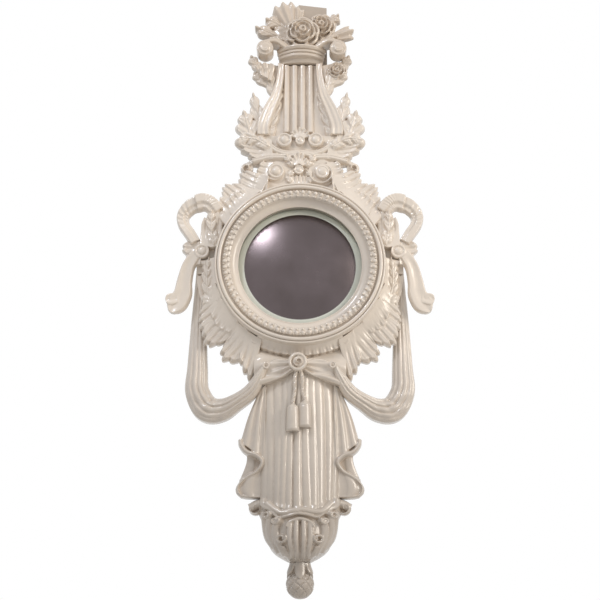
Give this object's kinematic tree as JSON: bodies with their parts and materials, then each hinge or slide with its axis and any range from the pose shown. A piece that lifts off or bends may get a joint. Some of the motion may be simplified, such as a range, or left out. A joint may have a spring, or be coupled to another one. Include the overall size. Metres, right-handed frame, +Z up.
{
  "type": "girandole mirror",
  "caption": "Tall convex wall mirror in a beaded ring, with a carved lyre and flower crest, ribbon bows, cloth festoons and a draped, tasselled pendant.",
  "frame": {"origin": "on the flat rear face of the crest's board, on the centreline of the ring, 200 mm above the centre of the glass", "axes": "+Z up, -Y towards the viewer (the front), +Y towards the wall, +X to the viewer's right"},
  "size_m": [0.4884, 0.0856, 1.1269],
  "materials": {
    "cream_lacquer": "glossy cream lacquer over carved wood",
    "bare_wood": "bare planed wood",
    "silvered_glass": "polished convex mirror",
    "hardboard": "smooth brown hardboard",
    "brass": "plain stamped brass",
    "steel": "zinc-plated steel",
    "bumper_rubber": "matt dark rubber"
  },
  "bodies": {
    "frame": {"ring_carcass": "bare_wood", "crest_spine_board": "bare_wood", "pendant_spine_board": "bare_wood", "crest_dowel": "bare_wood", "pendant_dowel": "bare_wood", "mirror_glass": "silvered_glass", "packing_ring": "hardboard", "backing_board": "hardboard", "turn_button_screw_1": "steel", "turn_button_screw_2": "steel", "turn_button_screw_3": "steel", "hanger_strap_left": "steel", "hanger_screw_left": "steel", "wall_bumper_left": "bumper_rubber", "hanger_strap_right": "steel", "hanger_screw_right": "steel", "wall_bumper_right": "bumper_rubber", "ring_moulding": "cream_lacquer", "bead_course": "cream_lacquer", "lyre_string_panel": "cream_lacquer", "lyre_capital": "cream_lacquer", "crest_rose": "cream_lacquer", "lyre_base": "cream_lacquer", "pendant_swag": "cream_lacquer", "pendant_drapery": "cream_lacquer", "pendant_rosette": "cream_lacquer", "leaf_cup": "cream_lacquer", "ball_finial": "cream_lacquer", "border_leaves_upper_left": "cream_lacquer", "border_leaves_upper_right": "cream_lacquer", "border_leaves_lower_left": "cream_lacquer", "border_leaves_lower_right": "cream_lacquer", "border_leaves_foot_left": "cream_lacquer", "border_leaves_foot_right": "cream_lacquer", "lyre_arm_left": "cream_lacquer", "lyre_arm_right": "cream_lacquer", "volute_left": "cream_lacquer", "volute_right": "cream_lacquer", "crest_foliage_left": "cream_lacquer", "crest_foliage_right": "cream_lacquer", "arm_rosette_left": "cream_lacquer", "arm_rosette_right": "cream_lacquer", "crest_acanthus_left": "cream_lacquer", "crest_acanthus_right": "cream_lacquer", "ribbon_loop_left": "cream_lacquer", "ribbon_loop_right": "cream_lacquer", "ribbon_tail_left": "cream_lacquer", "ribbon_tail_right": "cream_lacquer", "festoon_left": "cream_lacquer", "festoon_right": "cream_lacquer", "drapery_cascade_left": "cream_lacquer", "drapery_cascade_right": "cream_lacquer", "tassel_left": "cream_lacquer", "tassel_right": "cream_lacquer"},
    "hanger_ring_left": {"hanger_ring_left": "steel"},
    "hanger_ring_right": {"hanger_ring_right": "steel"},
    "turn_button_1": {"turn_button_1": "brass"},
    "turn_button_2": {"turn_button_2": "brass"},
    "turn_button_3": {"turn_button_3": "brass"}
  },
  "joints": [
    {"name": "hanger_ring_left_swing", "type": "hinge", "parent": "frame", "child": "hanger_ring_left", "pos_m": [-0.08646, 0.00325, -0.06686], "axis": [1, 0, 0], "range_deg": [0, 180]},
    {"name": "hanger_ring_right_swing", "type": "hinge", "parent": "frame", "child": "hanger_ring_right", "pos_m": [0.08646, 0.00325, -0.06686], "axis": [1, 0, 0], "range_deg": [0, 180]},
    {"name": "turn_button_1_turn", "type": "hinge", "parent": "frame", "child": "turn_button_1", "pos_m": [0, 0.0013, -0.058], "axis": [0, 1, 0], "continuous": true},
    {"name": "turn_button_2_turn", "type": "hinge", "parent": "frame", "child": "turn_button_2", "pos_m": [-0.12298, 0.0013, -0.271], "axis": [0, 1, 0], "continuous": true},
    {"name": "turn_button_3_turn", "type": "hinge", "parent": "frame", "child": "turn_button_3", "pos_m": [0.12298, 0.0013, -0.271], "axis": [0, 1, 0], "continuous": true}
  ]
}
